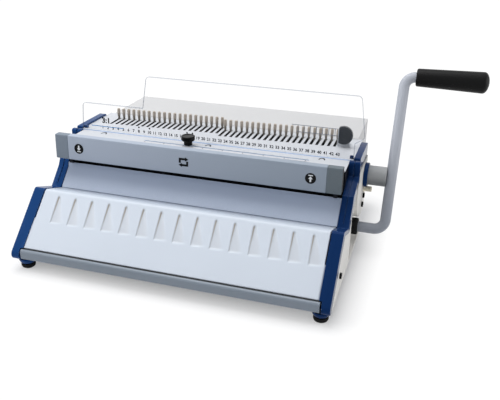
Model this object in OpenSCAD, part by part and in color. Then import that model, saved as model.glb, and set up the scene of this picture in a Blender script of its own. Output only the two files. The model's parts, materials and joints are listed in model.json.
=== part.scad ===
// Desk wire binding machine: a motor drives a row of punch pins through the paper throat,
// and a hand lever draws the front bar back against an anvil to close the wire loops.
// Frame: X to the right, Y to the back, Z up, origin on the desk under the middle of the body.

/* [Body] */
// Width over the two side trims
body_w = 432; // [424:1:464]
// Width of the raised rim of a side trim
trim_w = 15; // [13:0.5:18]
// Height of the deck above the desk
deck_z = 145; // [143:0.5:155]
// Rear face of the rear housing, measured from the lever side of the throat
back_y = 192; // [188:1:220]
// Joint between the side plates and the rear housing
housing_y = 84; // [84:0.5:86]
// Thickness of the deck and pan sheets
sheet_t = 2; // [1.5:0.25:2.5]
// Thickness of the inner steel side plates
plate_t = 3; // [2:0.5:4]
// Wall of the rear housing
housing_wall = 2.5; // [2:0.25:3]
// Height of the rubber feet
foot_h = 7; // [6:0.5:9]
// Diameter of the rubber feet
foot_d = 19; // [16:1:22]
// Height of the blue cups above the rubber feet
cup_h = 8.5; // [7:0.5:10]
// Largest diameter of those cups
cup_d = 24; // [22:0.5:26]

/* [Front] */
// Lowest front edge of the sloping front, across the depth
toe_y = -187; // [-195:1:-183]
// Height of that lowest front edge
toe_z = 33; // [32:0.5:40]
// Ridge between the front panel and the valley, across the depth
ridge_y = -123; // [-128:1:-118]
// Height of the ridge
ridge_z = 94; // [88:1:98]
// Valley at the foot of the rest panel, across the depth
valley_y = -86; // [-90:1:-82]
// Depth of the valley below the deck
valley_drop = 64; // [60:1:68]
// Thickness of the moulded front panel
panel_t = 4; // [3.5:0.25:5]
// How far the panels lie under the edge of the side trims
panel_drop = 1; // [0.5:0.25:2]
// Number of grip recesses in the front panel
recess_count = 15; // [10:1:15]
// Spacing of the grip recesses
recess_pitch = 25.4; // [22:0.1:26]
// Width of a grip recess
recess_w = 15; // [10:0.5:18]
// Length of a grip recess down the slope
recess_l = 38; // [30:1:42]
// Depth of a grip recess at its deep edge
recess_depth = 2.5; // [1.5:0.1:2.6]

/* [Punch] */
// Most punch pins in the row
pin_count = 42; // [30:2:42]
// Spacing of the punched holes, three to the inch
pin_pitch = 8.4667; // [8.4667:0.0001:8.4667]
// Diameter of a punch pin
pin_d = 4; // [3:0.1:4.4]
// Radial running clearance of pins, shafts and rods
run_gap = 0.05; // [0.02:0.01:0.09]
// Depth of the pin axis below the deck
pin_drop = 13; // [12:0.5:13.5]
// Stroke of the punch beam
punch_stroke = 22; // [20:0.5:23]
// Step of the pin tips along each half of the row
pin_stagger = 10.5; // [8:0.5:11]
// Width of the paper throat
throat_w = 5; // [4.5:0.25:6]
// Depth of the paper throat below the deck
throat_depth = 19; // [17:0.5:19]
// Width of a pin pull's head
pull_w = 4.4; // [4:0.2:5.2]
// Height of a pin pull above the deck
pull_h = 17; // [14:0.5:22]

/* [Closer] */
// Closing pinion teeth on the lever shaft
pinion_teeth = 16; // [16:1:16]
// Module of the closing rack and pinion
rack_module = 1; // [1:0.1:1]
// Height of the closing bar
bar_h = 35; // [30:1:42]
// Depth of the closing bar, front to back
bar_d = 12; // [10:0.5:14]
// Length of the closing bar over its end caps
bar_l = 410; // [396:1:414]
// Length of a closing bar end cap
cap_l = 20; // [12:1:28]
// How far the closing bar stands above the deck
bar_rise = 12; // [8:0.5:16]
// Travel of the wire size knob
knob_travel = 235; // [200:1:240]
// Diameter of the wire size knob
knob_d = 19.5; // [16:0.5:23]
// Height of the wire size knob
knob_h = 13.5; // [12:0.5:18]

/* [Lever] */
// Lever axis across the depth
lever_y = 43; // [42:0.5:44]
// Lever axis below the deck
lever_drop = 38; // [37:0.5:39]
// Lean of the lever towards the back at rest, in degrees
lever_lean = 26; // [20:1:30]
// Diameter of the lever tube
tube_d = 15; // [12:0.5:18]
// Length from the lever axis to the top corner
lever_up = 145; // [120:1:160]
// Length from the lever axis to the bottom corner
lever_down = 75; // [70:1:80]
// Distance of the lever tube from the side of the body
lever_out = 38; // [36:1:46]
// Bend radius of the lever tube
tube_bend = 15; // [13:1:24]
// Length of the hand grip
grip_l = 99; // [90:1:120]
// Largest diameter of the hand grip
grip_d = 29.5; // [24:0.5:34]
// Diameter of the lever hub
hub_d = 28; // [22:0.5:30]

/* [Guard] */
// Thickness of the clear guard
guard_t = 3; // [2:0.25:4]
// Height of the tall part of the guard above the deck
guard_h = 88; // [70:1:96]
// Height of the left wing of the guard above the deck
wing_h = 41; // [30:1:50]

/* [Hidden] */
$fn = 64;

// Clearances
slide_gap = 0.3;
seat_gap = 0.1;

// Places across the width, for the right-hand side; the bar and the pins are centred at row_x
row_x = -3.4;
trim_out = body_w / 2;
trim_in = trim_out - trim_w;
web_t = 2;
web_out = trim_in + web_t;
cover_t = 3;
pocket_x = web_out + cover_t;
cover_out = trim_out;
plate_in = trim_in - plate_t;
arm_t = 5;
arm_out = min(plate_in - 3, bar_l / 2 - abs(row_x) - 6);
arm_in = arm_out - arm_t;
rod_x = plate_in - 6;

// Heights
deck_low = deck_z - sheet_t;
pan_low = foot_h + cup_h;
pan_top = pan_low + sheet_t;
trim_foot_z = pan_low;
pin_z = deck_z - pin_drop;
block_low = deck_z - 21;
arm_top = block_low - 1;
arm_low = arm_top - 11;
lever_z = deck_z - lever_drop;
bar_top = deck_z + bar_rise;
bar_low = bar_top - bar_h;
valley_z = deck_z - valley_drop;

// Places through the depth
throat_back = -6.5;
throat_front = throat_back - throat_w;
guide_back = throat_back + 26.5;
die_d = 11.5;
die_front = throat_front - die_d;
anvil_d = 10;
anvil_front = die_front - 28;
deck_front = anvil_front + 1;
rear_deck_back = housing_y - 2;
pinion_r = pinion_teeth * rack_module / 2;
closer_travel = pinion_r * PI / 2;
bar_back = anvil_front - closer_travel - 1.4;
bar_front = bar_back - bar_d;
trim_back = housing_y - 16;

// Front outline of the machine, as depth and height
toe = [toe_y, toe_z];
ridge_front = [ridge_y - 3, ridge_z - 1.5];
ridge_rear = [ridge_y + 4, ridge_z - 1];
valley = [valley_y, valley_z];
shoulder = [bar_back + 2, deck_z - 40];
shelf = [bar_back + 7, deck_z - 35];
shoulder_fold = shoulder + [1.5, 6];

// Row of pins
rod_room = 11;
half_count = min(pin_count / 2, floor((rod_x - rod_room - abs(row_x)) / pin_pitch + 0.5));
row_count = 2 * half_count;
pin_start = throat_back + 1;
pull_y = 54.5;
pull_t = 4;
beam_y = pull_y + pin_stagger + pull_t + 1;
beam_d = 10;
pull_neck = 8;
stem_w = pull_w - 1.8;
slot_w = stem_w + 1.4;
slot_run = punch_stroke + 4;

// Cam drive
follower_d = 16;
follower_y = beam_y + beam_d + 28;
cam_gap = slide_gap;
cam_turn = 300;
cam_small_r = 12.7;
cam_y = follower_y + follower_d / 2 + cam_gap + cam_small_r;
cam_z = deck_z - 38;
cam_w = 10;
cam_shaft_d = 12;
bracket_x = plate_in - 100;
bracket_t = 6;
bracket_foot = 14;
cam_x = bracket_x - 28;
gear_teeth = 40;
drive_teeth = 16;
gear_module = 1.25;
gear_w = 8;
gear_x = bracket_x - 14;
gear_gap = (gear_teeth + drive_teeth) * gear_module / 2;
gear_line = -50;
motor_y = cam_y + gear_gap * cos(gear_line);
motor_z = cam_z + gear_gap * sin(gear_line);
motor_shaft_d = 6;

// Lever shaft
shaft_d = 10;
bush_d = 16;
lever_x = trim_out + lever_out;
hub_in = cover_out + 1.5;

// Closing bar and knobs
knob_x = -26;
knob_start = -64;
knob_y = die_front - 3.2;
knob_slot_w = 3.6;
scale_t = 1;
stop_x = row_x + pin_pitch * (row_count - 1) / 2 + 12.4;
stop_y = 36;
stop_d = 26;
stop_flat = 6.8;
stop_rise = 5;

// Rear fittings
switch_x = plate_in - 48;
inlet_x = plate_in - 102;
vent_x = -plate_in + 48;
fitting_z = 70;
rocker_tilt = 8;

// Drawer
tray_wall = 1.5;
tray_x = plate_in - 10;
tray_front_y = toe_y + 5;
tray_back = die_front + 11;
tray_low = pan_top + 0.4;
tray_front_h = 14;
tray_front_low = pan_low + 2.5;
tray_front_top = tray_front_low + tray_front_h;
tray_front_d = 10;
tray_front_x = trim_in + 2;

// Points along a chain moved sideways by a distance, with mitred corners
function side_of(p, q) = let (d = q - p) [d[1], -d[0]] / norm(d);
function moved_line(line, by) = [
    for (i = [0 : len(line) - 1])
        let (first = i == 0, last = i == len(line) - 1)
        let (a = first ? side_of(line[0], line[1]) : side_of(line[i - 1], line[i]))
        let (b = last ? a : side_of(line[i], line[i + 1]))
        let (m = first ? a + a : a + b)
        line[i] + by * 2 / (m * m) * m
];
function turned(list) = [for (i = [len(list) - 1 : -1 : 0]) list[i]];
function polar(r, a) = [r * cos(a), r * sin(a)];
function arc(centre, r, from, to, steps) = [
    for (i = [0 : steps]) centre + polar(r, from + (to - from) * i / steps)
];

// Gear with straight-flanked teeth, a little thinner than the gap between them
function gear_outline(teeth, size, phase) = [
    for (i = [0 : teeth - 1])
        let (a = phase + i * 360 / teeth, r = teeth * size / 2)
        let (tip_r = r + 0.85 * size, root_r = r - 1.15 * size)
        let (half = 90 / teeth - 0.14 * size / r * 180 / PI)
        let (tip = half - 0.85 * size * 0.40 / tip_r * 180 / PI)
        let (root = half + 1.15 * size * 0.24 / root_r * 180 / PI)
        each [polar(root_r, a - root), polar(tip_r, a - tip), polar(tip_r, a + tip), polar(root_r, a + root)]
];

// Snail cam: a short dwell, then a steady rise of its follower for each degree of turn
function cam_point(turn) =
    let (rise = turn > 0 ? punch_stroke / (cam_turn * PI / 180) : 0)
    let (r = cam_small_r + cam_gap + follower_d / 2 + rise * turn * PI / 180)
    let (a = 180 - turn, out = polar(1, a), along = [sin(a), -cos(a)])
    let (inward = (rise * along - r * out) / norm([rise, r]))
    r * out + (follower_d / 2 + cam_gap) * inward;

// A profile drawn as depth and height, drawn out across the width
module across(x0, x1) {
    translate([x0, 0, 0])
        rotate([90, 0, 90])
            linear_extrude(x1 - x0)
                children();
}

// A round bar across the width
module bar_x(x0, x1, y, z, d) {
    translate([x0, y, z])
        rotate([0, 90, 0])
            cylinder(d = d, h = x1 - x0);
}

// A round bar through the depth
module bar_y(y0, y1, x, z, d) {
    translate([x, y0, z])
        rotate([-90, 0, 0])
            cylinder(d = d, h = y1 - y0);
}

module block(low, high) {
    translate(low)
        cube(high - low);
}

module both_sides() {
    children();
    mirror([1, 0, 0])
        children();
}

// Place of each pin along the row, and its step within its half of the row
function pin_x(i) = row_x + (i - (row_count - 1) / 2) * pin_pitch;
function pin_step(i) = (i % half_count) / (half_count - 1) * pin_stagger;

// Side outline, from the nose at the bottom front up to the top of the front rim
rim_w = 10;
rim_end = throat_front - 1.5;
rim_face = throat_front - 8.5;
rim_top = deck_z + 2;
rear_deck_x = trim_in + 4;
rear_rim_low = deck_z - 17;
slope = atan2(ridge_front[1] - toe[1], ridge_front[0] - toe[0]);
nose_r = 8;
nose_z = trim_foot_z + nose_r;
nose_run = (nose_z - toe_z + nose_r * cos(slope)) / sin(slope);
nose = [toe_y + nose_run * cos(slope) + nose_r * sin(slope), nose_z];
ridge_top = [ridge_y, ridge_z];
panel_line = [toe, ridge_front, ridge_top, ridge_rear, valley];
rest_line = [valley, shoulder, shoulder_fold];
front_line = concat(
    arc(nose, nose_r, 270, 90 + slope, 8),
    [ridge_front, ridge_top, ridge_rear, valley, shoulder],
    [[shelf[0], shelf[1] + 4], [rim_face - 4, deck_z - 20], [rim_face, deck_z - 18]],
    arc([rim_face + 3, rim_top - 3], 3, 180, 90, 4)
);

module front_area(back) {
    low = trim_foot_z - rim_w;
    polygon(concat(front_line, [[back, rim_top], [back, low], [nose[0], low]]));
}

module under_deck() {
    intersection() {
        front_area(trim_back);
        translate([toe_y - 10, trim_foot_z])
            square([trim_back - toe_y + 10, deck_low - trim_foot_z]);
    }
}

module rear_rim_shape(low, high) {
    polygon(concat(
        [[throat_back - 0.5, low]],
        arc([throat_back + 1.5, high - 2], 2, 180, 90, 4),
        arc([trim_back - 6, high - 6], 6, 90, 0, 6),
        [[trim_back, low]]
    ));
}

module throat_notch() {
    translate([rim_end, deck_z - 7])
        square([throat_back - 0.5 - rim_end, 20]);
}

// Blue side trim: a thin web with a raised rim along the front and the top
module side_trim() {
    color("#20407a")
        difference() {
            union() {
                across(trim_in, web_out)
                    difference() {
                        under_deck();
                        throat_notch();
                    }
                across(trim_in, trim_out)
                    difference() {
                        intersection() {
                            front_area(rim_end);
                            translate([toe_y - 10, trim_foot_z])
                                square([rim_end - toe_y + 10, deck_z]);
                        }
                        translate([rim_w, -rim_w])
                            front_area(rim_end);
                    }
                across(web_out, trim_out - 1.5)
                    rear_rim_shape(rear_rim_low, deck_z + 3);
            }
            // Groove along the rim, between its inner and outer half
            across(trim_in + 6.5, trim_in + 8)
                difference() {
                    front_area(rim_end + 1);
                    translate([1.4, -1.4])
                        front_area(rim_end + 3);
                    translate([toe_y - 20, 0])
                        square([valley_y - toe_y + 24, deck_z]);
                }
            // Seat of the rear deck
            block([trim_in - 1, throat_back - 1, deck_low], [rear_deck_x + 0.5, trim_back + 1, deck_z + 10]);
            // Notch round the end of the drawer front
            block([trim_in - 1, toe_y - 20, 0], [tray_front_x + 2, tray_front_y + 1, tray_front_top + 1]);
            bar_x(trim_in - 1, web_out + 1, lever_y, lever_z, bush_d);
        }
}

module side_trim_right() { side_trim(); }
module side_trim_left() { mirror([1, 0, 0]) side_trim(); }

// Pale side cover, let into the trim
module cover_shape() {
    difference() {
        intersection() {
            under_deck();
            translate([rim_w + seat_gap, -rim_w - seat_gap])
                front_area(trim_back + rim_w);
        }
        translate([throat_back - 1, rear_rim_low - seat_gap])
            square([trim_back - throat_back + 2, deck_z]);
        throat_notch();
    }
}

// Pocket in the cover's outer face, which clears the swing of the lever's lower leg
pocket_front = -60;
pocket_low = trim_foot_z + 3.5;
hub_lobe_r = 61;
module cover_pocket() {
    difference() {
        translate([pocket_front, pocket_low])
            square([trim_back - pocket_front + 1, deck_z]);
        translate([lever_y, lever_z])
            circle(r = hub_lobe_r);
    }
}

module side_cover(hole) {
    color("#dcdcd8")
        difference() {
            union() {
                across(web_out, pocket_x)
                    cover_shape();
                across(web_out, cover_out)
                    difference() {
                        cover_shape();
                        cover_pocket();
                    }
            }
            bar_x(web_out - 1, cover_out + 1, lever_y, lever_z, hole);
        }
}

module side_cover_right() { side_cover(shaft_d + 4); }
module side_cover_left() { mirror([1, 0, 0]) side_cover(bush_d); }

// Button-head screws that hold the side covers
screw_run = 51;
screw_room = 22;
front_screw = [toe_y + screw_run, toe_z + (screw_run - rim_w) * tan(slope) - rim_w - screw_room];
screw_places = [front_screw, [lever_y - 4, lever_z - 45], [lever_y + 4, lever_z - 34]];
module cover_screws() {
    color("#1c1c1f")
        both_sides()
            for (p = screw_places)
                translate([cover_out, p[0], p[1]])
                    rotate([0, 90, 0])
                        difference() {
                            cylinder(d = 8, h = 2.6);
                            translate([0, 0, 1.2])
                                cylinder(d = 3.6, h = 2, $fn = 6);
                        }
}

// Inner steel side plate that carries the works
module side_plate() {
    line = [ridge_front, ridge_top, ridge_rear, valley, shoulder, shelf];
    lower = moved_line(line, panel_t + panel_drop + 1);
    color("#9a9ca0")
        difference() {
            across(plate_in, trim_in)
                polygon(concat(
                    [[toe_y + 9, pan_low], [toe_y + 9, toe_z]],
                    lower,
                    [[deck_front + 2, shelf[1] - 6], [deck_front + 2, deck_low], [throat_front, deck_low]],
                    [[throat_front, deck_z - throat_depth], [throat_back, deck_z - throat_depth]],
                    [[throat_back, deck_low], [housing_y, deck_low], [housing_y, pan_low]]
                ));
            bar_x(plate_in - 1, trim_in + 1, lever_y, lever_z, bush_d);
        }
}

module side_plate_right() { side_plate(); }
module side_plate_left() { mirror([1, 0, 0]) side_plate(); }

// Folded sheet under the whole machine
vent_pitch = 60;
vent_l = 36;
module base_pan() {
    color("#8b8d92")
        difference() {
            block([-plate_in, toe_y + 9, pan_low], [plate_in, back_y, pan_top]);
            for (i = [-2 : 2])
                for (y = [housing_y + 20, housing_y + 34])
                    translate([i * vent_pitch, y, pan_low])
                        block([-vent_l / 2, 0, -1], [vent_l / 2, 4, sheet_t + 1]);
        }
}

// White moulded front panel with its row of grip recesses
recess_x = 1.65;
recess_start = 5.5;
recess_wall = 3.2;
recess_end_depth = 1;
panel_inset = 1.5;
inset_run = 40;
module front_panel() {
    start = ridge_front - recess_start * [cos(slope), sin(slope)];
    rise = atan2(recess_depth - recess_end_depth, recess_l);
    wedge = [[0, 3], [0, 0], [recess_wall, -recess_depth], [recess_w, 0], [recess_w, 3]];
    edge = trim_in - slide_gap;
    inset_y = ridge_front[0] - inset_run * cos(slope);
    color("#d8dde6")
        difference() {
            across(-edge, edge)
                polygon(concat(
                    moved_line(panel_line, panel_drop),
                    turned(moved_line(panel_line, panel_drop + panel_t))
                ));
            block([-trim_out, toe_y - 20, 0], [trim_out, toe_y + 20, tray_front_top + 1]);
            for (i = [0 : recess_count - 1])
                translate([(i - (recess_count - 1) / 2) * recess_pitch + recess_x, start[0], start[1]])
                    rotate([90 + slope - rise, 0, 0])
                        translate([0, -panel_drop, 0])
                            linear_extrude(recess_l)
                                polygon(wedge);
            // The upper part is a little narrower, which leaves a dark gap beside each trim
            both_sides()
                block([edge - panel_inset, inset_y, 0], [trim_out, deck_front, deck_z]);
        }
}

// Sheet that the loose pages lean on while the wire is closed
module rest_panel() {
    line = concat([valley + [0.6, 0.6]], [for (i = [1 : len(rest_line) - 1]) rest_line[i]]);
    color("#8f98aa")
        across(-trim_in + slide_gap, trim_in - slide_gap)
            polygon(concat(moved_line(line, panel_drop), turned(moved_line(line, panel_drop + sheet_t))));
}

// Fixed jaw of the wire closer, behind the closing bar
anvil_h = 43;
module anvil_bar() {
    low = deck_low - anvil_h;
    color("#3a3d42")
        difference() {
            union() {
                block([-arm_in + 2, anvil_front, low], [arm_in - 2, anvil_front + anvil_d, deck_low]);
                block([-plate_in, anvil_front, low], [plate_in, anvil_front + anvil_d, arm_low - 1.5]);
            }
            // Shallow groove that holds the wire loops level
            across(-arm_in, arm_in)
                translate([anvil_front, bar_low + 12])
                    circle(d = 5);
        }
}

// White deck in front of the throat, with the slot of the wire size knob
module front_deck() {
    color("#e4e6ea")
        translate([0, 0, deck_low])
            linear_extrude(sheet_t)
                difference() {
                    translate([-trim_in + slide_gap, deck_front])
                        square([2 * (trim_in - slide_gap), throat_front - deck_front]);
                    translate([knob_x + knob_start - knob_slot_w, knob_y - knob_slot_w / 2])
                        square([knob_travel + 2 * knob_slot_w, knob_slot_w]);
                }
}

// Stepped strip beside the knob: one step for each wire size
module size_scale() {
    steps = 8;
    step_l = knob_travel / steps;
    color("#f2f2f0")
        translate([knob_x + knob_start, knob_y - knob_slot_w / 2 - 3, deck_z])
            linear_extrude(scale_t)
                for (i = [0 : steps - 1])
                    translate([i * step_l, -9 + i * 0.6])
                        square([step_l + (i < steps - 1 ? 0.01 : 0), 9 - i * 0.6]);
}

// White deck behind the throat, with one slot for each pin pull
module rear_deck() {
    color("#e4e6ea")
        translate([0, 0, deck_low])
            linear_extrude(sheet_t)
                difference() {
                    translate([-rear_deck_x, throat_back])
                        square([2 * rear_deck_x, rear_deck_back - throat_back]);
                    for (i = [0 : row_count - 1])
                        translate([pin_x(i) - slot_w / 2, pull_y + pin_step(i) - slot_run])
                            square([slot_w, slot_run + pull_t + 0.6]);
                }
}

// Deep rear housing over the motor and the cams
module rear_housing() {
    inside = plate_in - housing_wall;
    wall_y = back_y - housing_wall;
    color("#dededc")
        difference() {
            block([-plate_in, housing_y, pan_top], [plate_in, back_y, deck_z]);
            block([-inside, housing_y - 1, pan_top - 1], [inside, wall_y, deck_z - housing_wall]);
            // Cut-outs for the inlet and the switch
            block([inlet_x - 15, back_y - 10, fitting_z - 11], [inlet_x + 15, back_y + 1, fitting_z + 11]);
            block([switch_x - 7, back_y - 10, fitting_z - 11], [switch_x + 7, back_y + 1, fitting_z + 11]);
            // Air slots in the rear wall
            for (i = [0 : 9])
                translate([vent_x + i * 12, back_y, fitting_z])
                    block([0, -10, -20], [5, 1, 20]);
        }
}

// Clear acrylic guard between the throat and the pulls
module clear_guard() {
    left = -rear_deck_x;
    corner = 6;
    tall_l = left + 108;
    tall_r = rear_deck_x + 5;
    right_low = rear_deck_x + 12;
    top = deck_z + guard_h;
    wing = deck_z + wing_h;
    color("#e8f2f6", 0.3)
        translate([0, throat_back + guard_t, 0])
            rotate([90, 0, 0])
                linear_extrude(guard_t)
                    polygon(concat(
                        [[rear_deck_x, deck_z], [left, deck_z]],
                        arc([left + 3 + corner, wing - corner], corner, 175, 90, 6),
                        [[tall_l - 7, wing]],
                        arc([tall_l + corner, top - corner], corner, 172, 90, 6),
                        arc([tall_r - corner, top - corner], corner, 90, 8, 6),
                        arc([right_low - corner, wing - 4 - corner / 2], corner, 8, -60, 6),
                        [[rear_deck_x, wing - 18]]
                    ));
}

// Small blue blocks that hold the ends of the guard to the rear deck
module guard_clips() {
    back = throat_back + guard_t;
    color("#20407a")
        both_sides()
            across(rear_deck_x - 6, rear_deck_x - 1)
                polygon(concat(
                    [[back, deck_z], [back + 5, deck_z]],
                    arc([back + 2.5, deck_z + 2], 2.5, 0, 90, 4),
                    [[back, deck_z + 4.5]]
                ));
}

// Steel die that the pins punch into
module die_block() {
    color("#a7abb0")
        difference() {
            block([-plate_in, die_front, block_low], [plate_in, throat_front, deck_low]);
            for (i = [0 : row_count - 1])
                bar_y(die_front - 1, throat_front + 1, pin_x(i), pin_z, pin_d + 2 * run_gap);
        }
}

// Steel block that guides the pins, and the loose ledge that the paper edge stands on
rod_d = 8;
rod_seat = 15;
ledge_z = deck_z - throat_depth;
module pin_guide() {
    color("#a7abb0")
        difference() {
            union() {
                block([-plate_in, throat_back, block_low], [plate_in, guide_back, deck_low]);
                block([-plate_in, throat_front, block_low], [plate_in, throat_back - seat_gap, ledge_z]);
            }
            for (i = [0 : row_count - 1])
                bar_y(throat_back - 1, guide_back + 1, pin_x(i), pin_z, pin_d + 2 * run_gap);
            both_sides()
                bar_y(guide_back - rod_seat, guide_back + 1, rod_x, pin_z, rod_d);
        }
}

// Two rods that the punch beam runs on
module beam_rods() {
    color("#c4c8cc")
        both_sides()
            bar_y(guide_back - rod_seat, housing_y - 1, rod_x, pin_z, rod_d);
}

// Round spacers that tie the side plates together
tie_places = [[ridge_y + 12, 56], [10, 56], [housing_y - 14, 56]];
module tie_rods() {
    color("#b4b8bc")
        for (p = tie_places)
            bar_x(-plate_in, plate_in, p[0], p[1], 10);
}

// Where the feet stand: the front pair under the trims, the rear pair under the pan
foot_places = [[trim_in + 2, tray_front_y + 5], [plate_in - 24, back_y - 24]];

// Flared blue cups between the machine and its rubber feet
module foot_blocks() {
    r = cup_d / 2;
    color("#20407a")
        both_sides()
            for (p = foot_places)
                translate([p[0], p[1], foot_h])
                    rotate_extrude()
                        polygon([[0, 0], [r - 4, 0], [r - 1.6, 2.6], [r - 0.4, 5], [r, cup_h - 1.5],
                            [r, cup_h], [0, cup_h]]);
}

// Domed rubber feet under the cups
module rubber_feet() {
    r = foot_d / 2;
    color("#1a1a1c")
        both_sides()
            for (p = foot_places)
                translate([p[0], p[1], 0])
                    rotate_extrude()
                        polygon([[0, 0], [r - 3, 0], [r - 0.8, 1.6], [r, 3.6], [r, foot_h], [0, foot_h]]);
}

// Flanged brass bushes of the lever shaft, in the side plates
bush_flange = 1.5;
module lever_bushes() {
    color("#b08d48")
        both_sides()
            difference() {
                union() {
                    bar_x(plate_in, web_out, lever_y, lever_z, bush_d);
                    bar_x(plate_in - bush_flange, plate_in, lever_y, lever_z, bush_d + 5);
                }
                bar_x(plate_in - 10, web_out + 1, lever_y, lever_z, shaft_d + 2 * run_gap);
            }
}

// Blue collar round the root of the lever hub
module hub_ring() {
    color("#20407a")
        difference() {
            bar_x(cover_out, cover_out + 6, lever_y, lever_z, hub_d + 7);
            bar_x(cover_out - 1, cover_out + 7, lever_y, lever_z, hub_d + 2 * slide_gap);
        }
}

// Where the lower leg of the lever stands at rest
lever_leg = [lever_y - lever_down * sin(lever_lean), lever_z - lever_down * cos(lever_lean)];
buffer_d = 24;
buffer_t = 10;
buffer_in = pocket_x + 1;
module lever_stop() {
    y = lever_leg[0] - buffer_d / 2 - slide_gap;
    color("#dcdcd8")
        block([pocket_x, y - 6, lever_leg[1] - 6], [pocket_x + 3, y, lever_leg[1] + 6]);
}

// Pale nylon peg under the lever hub
module nylon_peg() {
    color("#e2d8bc")
        translate([cover_out, lever_y + 6, lever_z - 24])
            rotate([0, 90, 0])
                rotate_extrude()
                    polygon([[0, 0], [5, 0], [5, 2], [4, 2], [4, 11], [3, 12], [0, 12]]);
}

// Rails on the side plates that carry the closer racks
guide_places = [die_front - 13, throat_front + 1.5];
module carriage_guides() {
    color("#6f747a")
        both_sides()
            for (y = guide_places)
                translate([0, y, 0])
                    difference() {
                        block([arm_in - 4, 0, arm_low - 8], [plate_in, 12, arm_low + 6]);
                        block([arm_in - slide_gap, -1, arm_low - seat_gap], [plate_in + 1, 13, arm_low + 7]);
                    }
}

// Uprights that carry the cam shaft; the left one also carries the motor
module cam_bracket_shape(motor) {
    difference() {
        polygon(concat(
            [[cam_y - 18, pan_top]],
            arc([cam_y, cam_z], 16, 190, motor ? 60 : -10, 10),
            motor ? arc([motor_y, motor_z], 24, 50, -10, 8) : [],
            [[(motor ? motor_y + 24 : cam_y + 18), pan_top]]
        ));
        translate([cam_y, cam_z])
            circle(d = cam_shaft_d + 2 * run_gap);
        if (motor)
            translate([motor_y, motor_z])
                circle(d = motor_shaft_d * 2);
    }
}

module cam_bracket_right() {
    color("#8b8d92") {
        across(bracket_x, bracket_x + bracket_t)
            cam_bracket_shape(false);
        block([bracket_x + bracket_t, cam_y - 18, pan_top],
            [bracket_x + bracket_t + bracket_foot, cam_y + 18, pan_top + 3]);
    }
}

module cam_bracket_left() {
    color("#8b8d92") {
        across(-bracket_x - bracket_t, -bracket_x)
            cam_bracket_shape(true);
        block([-bracket_x - bracket_t - bracket_foot, cam_y - 18, pan_top],
            [-bracket_x - bracket_t, motor_y + 24, pan_top + 3]);
    }
}

// Gear motor, bolted to the left upright
motor_d = 50;
motor_l = 78;
module gear_motor() {
    face = -bracket_x - bracket_t;
    color("#4a4d52")
        difference() {
            union() {
                bar_x(face - 22, face, motor_y, motor_z, motor_d - 6);
                bar_x(face - motor_l, face - 22, motor_y, motor_z, motor_d);
                bar_x(face - motor_l - 5, face - motor_l, motor_y, motor_z, 18);
            }
            bar_x(face - 14, face + 1, motor_y, motor_z, motor_shaft_d + 2 * run_gap);
        }
}

// Three-pole mains inlet, let into the rear wall
module power_inlet() {
    color("#1b1c1f")
        difference() {
            union() {
                block([inlet_x - 23, back_y, fitting_z - 14], [inlet_x + 23, back_y + 2, fitting_z + 14]);
                block([inlet_x - 14.5, back_y - 20, fitting_z - 10.5],
                    [inlet_x + 14.5, back_y, fitting_z + 10.5]);
            }
            difference() {
                across(inlet_x - 12.2, inlet_x + 12.2)
                    translate([back_y - 16, fitting_z - 8.2])
                        square([20, 16.4]);
                for (p = [[-7, -2], [0, 2], [7, -2]])
                    block([inlet_x + p[0] - 1, back_y - 17, fitting_z + p[1] - 2],
                        [inlet_x + p[0] + 1, back_y - 3, fitting_z + p[1] + 2]);
            }
        }
}

// Frame of the mains rocker
rocker_r = 8.6;
rocker_w = 10.4;
rocker_y = back_y - 4;
module switch_bezel() {
    color("#1b1c1f")
        difference() {
            union() {
                block([switch_x - 9, back_y, fitting_z - 13], [switch_x + 9, back_y + 1.6, fitting_z + 13]);
                block([switch_x - 6.8, back_y - 16, fitting_z - 10.8],
                    [switch_x + 6.8, back_y, fitting_z + 10.8]);
            }
            block([switch_x - rocker_w / 2 - slide_gap, back_y - 14, fitting_z - rocker_r - 0.5],
                [switch_x + rocker_w / 2 + slide_gap, back_y + 3, fitting_z + rocker_r + 0.5]);
            bar_x(switch_x - 6.4, switch_x + 6.4, rocker_y, fitting_z, 2.4 + 2 * run_gap);
        }
}

module power_rocker() {
    color("#26282c")
        translate([0, rocker_y, fitting_z])
            rotate([-rocker_tilt, 0, 0]) {
                across(switch_x - rocker_w / 2, switch_x + rocker_w / 2)
                    intersection() {
                        circle(r = rocker_r);
                        polygon([[-4, -rocker_r], [5.6, -rocker_r], [4.4, 0], [5.6, rocker_r],
                            [-4, rocker_r]]);
                    }
                bar_x(switch_x - 6.2, switch_x + 6.2, 0, 0, 2.4);
            }
}

// Rails either side of the chip drawer
module drawer_runners() {
    color("#b4b8bc")
        both_sides()
            block([tray_x + slide_gap, tray_front_y + 10, pan_top], [tray_x + 5, tray_back, pan_top + 9]);
}

// Upright angle that carries the paper stop knob
stop_z = deck_z + stop_d / 2 + stop_rise;
stop_pin_d = 6;
module stop_bracket() {
    y = stop_y + 7;
    color("#d5d7da")
        difference() {
            union() {
                block([stop_x - 9, y, deck_z], [stop_x + 9, y + 2.5, stop_z + 8]);
                block([stop_x - 9, y + 2.5, deck_z], [stop_x + 9, y + 14, deck_z + 2]);
            }
            bar_y(y - 1, y + 4, stop_x, stop_z, stop_pin_d + 2 * run_gap);
        }
}

// Dark knob with one flat side, which sets the paper stop
module stop_knob() {
    color("#2a3038") {
        translate([stop_x, stop_y + 6.7, stop_z])
            rotate([90, 0, 0])
                linear_extrude(6)
                    difference() {
                        circle(d = stop_d);
                        translate([-stop_d - stop_flat, -stop_d])
                            square([stop_d, 2 * stop_d]);
                    }
        bar_y(stop_y + 6.7, stop_y + 12, stop_x, stop_z, stop_pin_d);
    }
}

// Lever: everything is drawn upright at the lever axis, then leaned back
module leaned() {
    translate([0, lever_y, lever_z])
        rotate([-lever_lean, 0, 0])
            children();
}

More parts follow.
